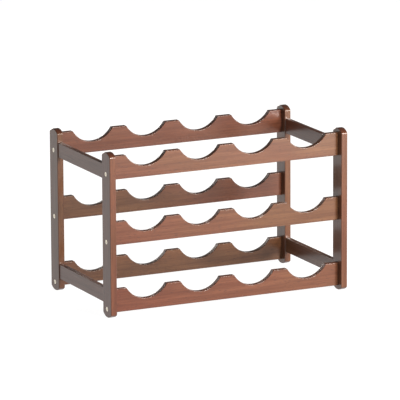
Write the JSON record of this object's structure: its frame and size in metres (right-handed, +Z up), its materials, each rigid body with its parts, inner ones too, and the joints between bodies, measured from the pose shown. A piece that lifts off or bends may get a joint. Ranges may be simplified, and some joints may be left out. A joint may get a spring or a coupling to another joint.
{
  "type": "wine rack",
  "caption": "Free-standing wine rack in stained, lacquered wood: flat posts with rounded ends, side stretchers, and front and back rails with cradles for bottles lying on their sides.",
  "frame": {"origin": "on the floor, at the middle of the rack's width and depth", "axes": "+X across the rack to the right, +Y from front to back, +Z up"},
  "size_m": [0.43, 0.2384, 0.2735],
  "materials": {
    "post_wood": "brown stain under satin lacquer",
    "rail_wood": "brown stain under satin lacquer",
    "stretcher_wood": "brown stain under satin lacquer",
    "screw_nickel": "nickel plated",
    "dowel_beech": "bare"
  },
  "bodies": {
    "root": {"post_front_left": "post_wood", "post_front_right": "post_wood", "post_back_left": "post_wood", "post_back_right": "post_wood", "rail_front_low": "rail_wood", "rail_front_middle": "rail_wood", "rail_front_high": "rail_wood", "rail_back_low": "rail_wood", "rail_back_middle": "rail_wood", "rail_back_high": "rail_wood", "stretcher_left_low": "stretcher_wood", "stretcher_left_high": "stretcher_wood", "stretcher_right_low": "stretcher_wood", "stretcher_right_high": "stretcher_wood", "screws_left": "screw_nickel", "screws_right": "screw_nickel", "rail_dowels_left": "dowel_beech", "rail_dowels_right": "dowel_beech", "stretcher_dowels_left": "dowel_beech", "stretcher_dowels_right": "dowel_beech"}
  },
  "joints": []
}
